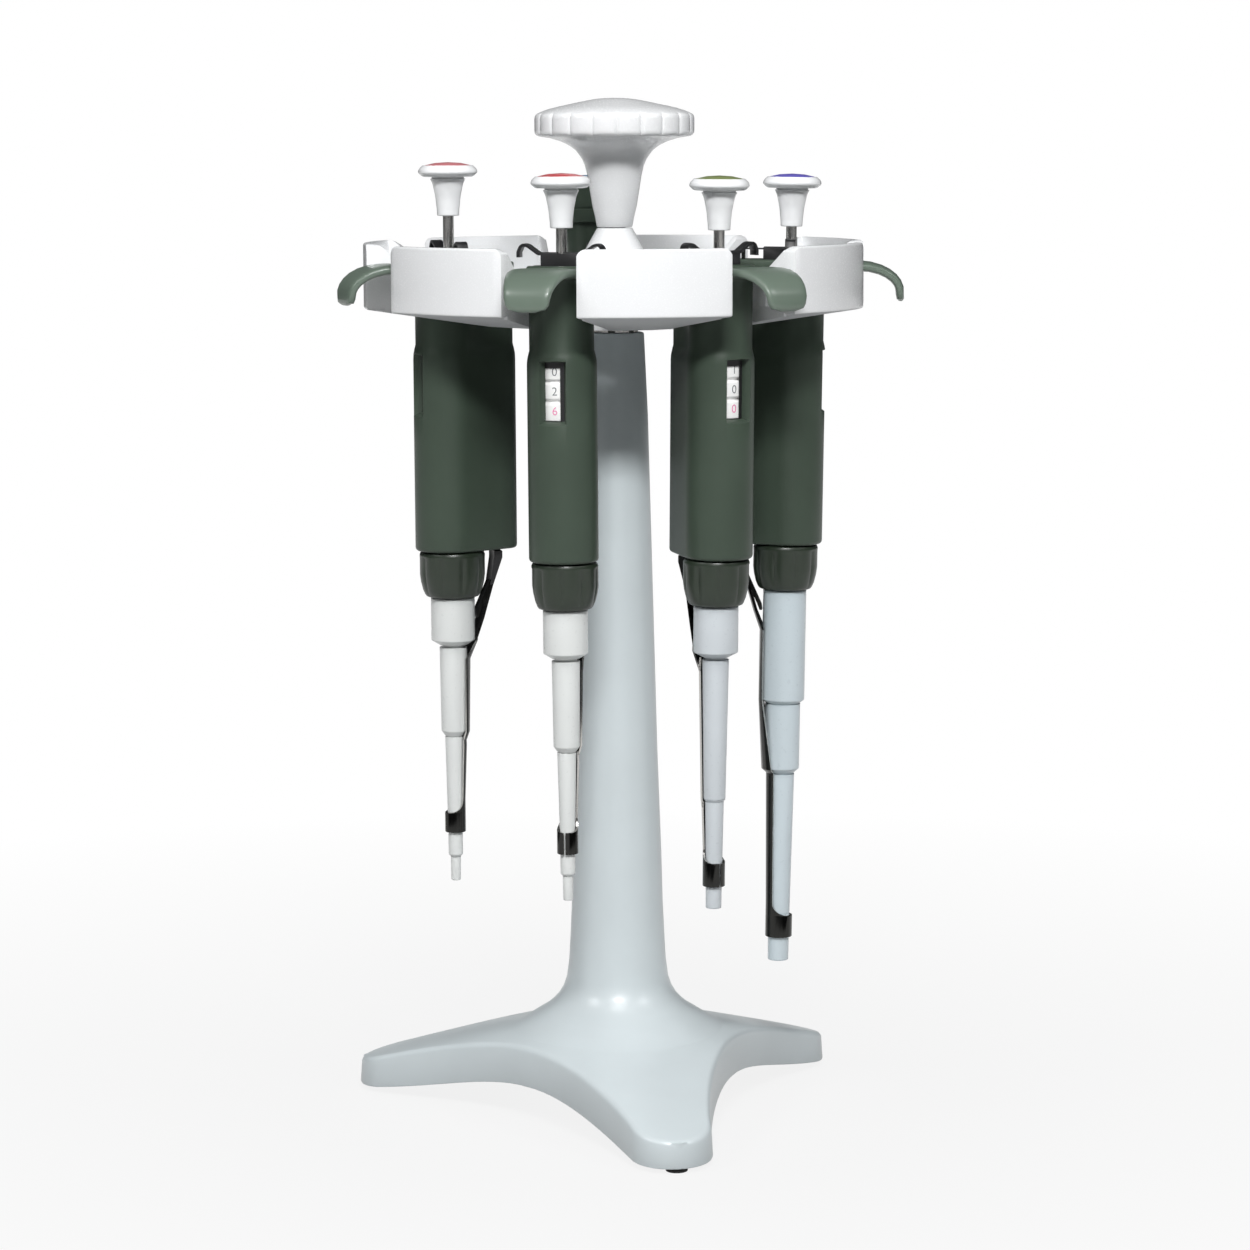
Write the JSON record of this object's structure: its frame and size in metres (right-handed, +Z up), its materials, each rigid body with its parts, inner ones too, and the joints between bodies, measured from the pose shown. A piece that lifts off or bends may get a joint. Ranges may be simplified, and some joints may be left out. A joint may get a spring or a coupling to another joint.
{
  "type": "pipette carousel stand",
  "caption": "Bench stand with a three-legged foot, tapered column and turning ring of open bays, with hand pipettes hung by their finger hooks.",
  "frame": {"origin": "on the column's axis at bench level, under the foot", "axes": "+Z up the column and the carousel's axis, -Y towards the front"},
  "size_m": [0.1821, 0.184, 0.3314],
  "materials": {
    "stand_grey": "satin",
    "rotor_white": "gloss",
    "bush_white": "satin",
    "pad_rubber": "matte",
    "steel": "brushed",
    "handle_olive": "satin",
    "ejector_black": "satin",
    "button_white": "gloss",
    "wheel_white": "satin",
    "nozzle_white": "satin",
    "nozzle_blue": "satin",
    "cap_1": "gloss",
    "cap_2": "gloss",
    "cap_3": "gloss",
    "cap_4": "gloss",
    "cap_5": "gloss"
  },
  "bodies": {
    "stand": {"base_column": "stand_grey", "foot_pad_1": "pad_rubber", "foot_pad_2": "pad_rubber", "foot_pad_3": "pad_rubber", "base_weight": "steel", "lower_bush": "bush_white", "upper_bush": "bush_white", "thrust_washer": "steel"},
    "carousel": {"carousel_ring": "rotor_white", "knob": "rotor_white", "spindle": "steel", "retaining_clip": "steel"},
    "pipette_1": {"pipette_1_handle": "handle_olive", "pipette_1_nut": "handle_olive", "pipette_1_nozzle": "nozzle_white"},
    "pipette_1_plunger": {"pipette_1_plunger_rod": "steel"},
    "pipette_1_dial": {"pipette_1_plunger_button": "button_white", "pipette_1_colour_cap": "cap_1"},
    "pipette_1_wheels": {"pipette_1_number_wheels": "wheel_white"},
    "pipette_1_ejector": {"pipette_1_ejector": "ejector_black", "pipette_1_ejector_arm": "steel"},
    "pipette_2": {"pipette_2_handle": "handle_olive", "pipette_2_nut": "handle_olive", "pipette_2_nozzle": "nozzle_white"},
    "pipette_2_plunger": {"pipette_2_plunger_rod": "steel"},
    "pipette_2_dial": {"pipette_2_plunger_button": "button_white", "pipette_2_colour_cap": "cap_2"},
    "pipette_2_wheels": {"pipette_2_number_wheels": "wheel_white"},
    "pipette_2_ejector": {"pipette_2_ejector": "ejector_black", "pipette_2_ejector_arm": "steel"},
    "pipette_3": {"pipette_3_handle": "handle_olive", "pipette_3_nut": "handle_olive", "pipette_3_nozzle": "nozzle_white"},
    "pipette_3_plunger": {"pipette_3_plunger_rod": "steel"},
    "pipette_3_dial": {"pipette_3_plunger_button": "button_white", "pipette_3_colour_cap": "cap_3"},
    "pipette_3_wheels": {"pipette_3_number_wheels": "wheel_white"},
    "pipette_3_ejector": {"pipette_3_ejector": "ejector_black", "pipette_3_ejector_arm": "steel"},
    "pipette_4": {"pipette_4_handle": "handle_olive", "pipette_4_nut": "handle_olive", "pipette_4_nozzle": "nozzle_blue"},
    "pipette_4_plunger": {"pipette_4_plunger_rod": "steel"},
    "pipette_4_dial": {"pipette_4_plunger_button": "button_white", "pipette_4_colour_cap": "cap_4"},
    "pipette_4_wheels": {"pipette_4_number_wheels": "wheel_white"},
    "pipette_4_ejector": {"pipette_4_ejector": "ejector_black", "pipette_4_ejector_arm": "steel"},
    "pipette_5": {"pipette_5_handle": "handle_olive", "pipette_5_nut": "handle_olive", "pipette_5_nozzle": "nozzle_white"},
    "pipette_5_plunger": {"pipette_5_plunger_rod": "steel"},
    "pipette_5_dial": {"pipette_5_plunger_button": "button_white", "pipette_5_colour_cap": "cap_5"},
    "pipette_5_wheels": {"pipette_5_number_wheels": "wheel_white"},
    "pipette_5_ejector": {"pipette_5_ejector": "ejector_black", "pipette_5_ejector_arm": "steel"}
  },
  "joints": [
    {"name": "carousel_turn", "type": "hinge", "parent": "stand", "child": "carousel", "pos_m": [0, 0, 0.26], "axis": [0, 0, 1], "continuous": true},
    {"name": "pipette_1_lift", "type": "slide", "parent": "carousel", "child": "pipette_1", "axis": [0, 0, 1], "range_m": [0, 0.225]},
    {"name": "pipette_1_plunger_press", "type": "slide", "parent": "pipette_1", "child": "pipette_1_plunger", "axis": [0.0024, 0.001, -1], "range_m": [0, 0.0098], "stiffness_N_per_m": 300, "springref_m": -0.004},
    {"name": "pipette_1_volume_dial", "type": "hinge", "parent": "pipette_1_plunger", "child": "pipette_1_dial", "pos_m": [-0.05289, -0.02118, 0.3024], "axis": [-0.0024, -0.001, 1], "range_deg": [-1800, 1800]},
    {"name": "pipette_1_wheels_turn", "type": "hinge", "parent": "pipette_1", "child": "pipette_1_wheels", "pos_m": [-0.05274, -0.02112, 0.2408], "axis": [-0.0024, -0.001, 1], "range_deg": [-1800, 1800]},
    {"name": "pipette_1_eject", "type": "slide", "parent": "pipette_1", "child": "pipette_1_ejector", "axis": [0.0024, 0.001, -1], "range_m": [0, 0.005], "stiffness_N_per_m": 400, "springref_m": -0.004},
    {"name": "pipette_2_lift", "type": "slide", "parent": "carousel", "child": "pipette_2", "axis": [0, 0, 1], "range_m": [0, 0.225]},
    {"name": "pipette_2_plunger_press", "type": "slide", "parent": "pipette_2", "child": "pipette_2_plunger", "axis": [0.0044, -0.0004, -1], "range_m": [0, 0.0066], "stiffness_N_per_m": 300, "springref_m": -0.004},
    {"name": "pipette_2_volume_dial", "type": "hinge", "parent": "pipette_2_plunger", "child": "pipette_2_dial", "pos_m": [-0.0165, -0.05448, 0.2992], "axis": [-0.0044, 0.0004, 1], "range_deg": [-1800, 1800]},
    {"name": "pipette_2_wheels_turn", "type": "hinge", "parent": "pipette_2", "child": "pipette_2_wheels", "pos_m": [-0.01624, -0.0545, 0.2408], "axis": [-0.0044, 0.0004, 1], "range_deg": [-1800, 1800]},
    {"name": "pipette_2_eject", "type": "slide", "parent": "pipette_2", "child": "pipette_2_ejector", "axis": [0.0044, -0.0004, -1], "range_m": [0, 0.005], "stiffness_N_per_m": 400, "springref_m": -0.004},
    {"name": "pipette_3_lift", "type": "slide", "parent": "carousel", "child": "pipette_3", "axis": [0, 0, 1], "range_m": [0, 0.225]},
    {"name": "pipette_3_plunger_press", "type": "slide", "parent": "pipette_3", "child": "pipette_3_plunger", "axis": [-0.0084, 0.0122, -0.9999], "range_m": [0, 0.0056], "stiffness_N_per_m": 300, "springref_m": -0.004},
    {"name": "pipette_3_volume_dial", "type": "hinge", "parent": "pipette_3_plunger", "child": "pipette_3_dial", "pos_m": [0.03256, -0.04706, 0.2982], "axis": [0.0084, -0.0122, 0.9999], "range_deg": [-1800, 1800]},
    {"name": "pipette_3_wheels_turn", "type": "hinge", "parent": "pipette_3", "child": "pipette_3_wheels", "pos_m": [0.03208, -0.04636, 0.2408], "axis": [0.0084, -0.0122, 0.9999], "range_deg": [-1800, 1800]},
    {"name": "pipette_3_eject", "type": "slide", "parent": "pipette_3", "child": "pipette_3_ejector", "axis": [-0.0084, 0.0122, -0.9999], "range_m": [0, 0.005], "stiffness_N_per_m": 400, "springref_m": -0.004},
    {"name": "pipette_4_lift", "type": "slide", "parent": "carousel", "child": "pipette_4", "axis": [0, 0, 1], "range_m": [0, 0.25]},
    {"name": "pipette_4_plunger_press", "type": "slide", "parent": "pipette_4", "child": "pipette_4_plunger", "axis": [-0.0165, 0.0011, -0.9999], "range_m": [0, 0.0056], "stiffness_N_per_m": 300, "springref_m": -0.004},
    {"name": "pipette_4_volume_dial", "type": "hinge", "parent": "pipette_4_plunger", "child": "pipette_4_dial", "pos_m": [0.05714, -0.00389, 0.2982], "axis": [0.0165, -0.0011, 0.9999], "range_deg": [-1800, 1800]},
    {"name": "pipette_4_wheels_turn", "type": "hinge", "parent": "pipette_4", "child": "pipette_4_wheels", "pos_m": [0.05619, -0.00382, 0.2408], "axis": [0.0165, -0.0011, 0.9999], "range_deg": [-1800, 1800]},
    {"name": "pipette_4_eject", "type": "slide", "parent": "pipette_4", "child": "pipette_4_ejector", "axis": [-0.0165, 0.0011, -0.9999], "range_m": [0, 0.005], "stiffness_N_per_m": 400, "springref_m": -0.004},
    {"name": "pipette_5_lift", "type": "slide", "parent": "carousel", "child": "pipette_5", "axis": [0, 0, 1], "range_m": [0, 0.225]},
    {"name": "pipette_5_plunger_press", "type": "slide", "parent": "pipette_5", "child": "pipette_5_plunger", "axis": [0.0008, -0.0052, -1], "range_m": [0, 0.0058], "stiffness_N_per_m": 300, "springref_m": -0.004},
    {"name": "pipette_5_volume_dial", "type": "hinge", "parent": "pipette_5_plunger", "child": "pipette_5_dial", "pos_m": [-0.00889, 0.05638, 0.3098], "axis": [-0.0008, 0.0052, 1], "range_deg": [-1800, 1800]},
    {"name": "pipette_5_wheels_turn", "type": "hinge", "parent": "pipette_5", "child": "pipette_5_wheels", "pos_m": [-0.00884, 0.05602, 0.2408], "axis": [-0.0008, 0.0052, 1], "range_deg": [-1800, 1800]},
    {"name": "pipette_5_eject", "type": "slide", "parent": "pipette_5", "child": "pipette_5_ejector", "axis": [0.0008, -0.0052, -1], "range_m": [0, 0.005], "stiffness_N_per_m": 400, "springref_m": -0.004}
  ],
  "couplings": [
    {"joint": "pipette_1_wheels_turn", "follows": "pipette_1_volume_dial", "ratio": 1},
    {"joint": "pipette_2_wheels_turn", "follows": "pipette_2_volume_dial", "ratio": 1},
    {"joint": "pipette_3_wheels_turn", "follows": "pipette_3_volume_dial", "ratio": 1},
    {"joint": "pipette_4_wheels_turn", "follows": "pipette_4_volume_dial", "ratio": 1},
    {"joint": "pipette_5_wheels_turn", "follows": "pipette_5_volume_dial", "ratio": 1}
  ]
}
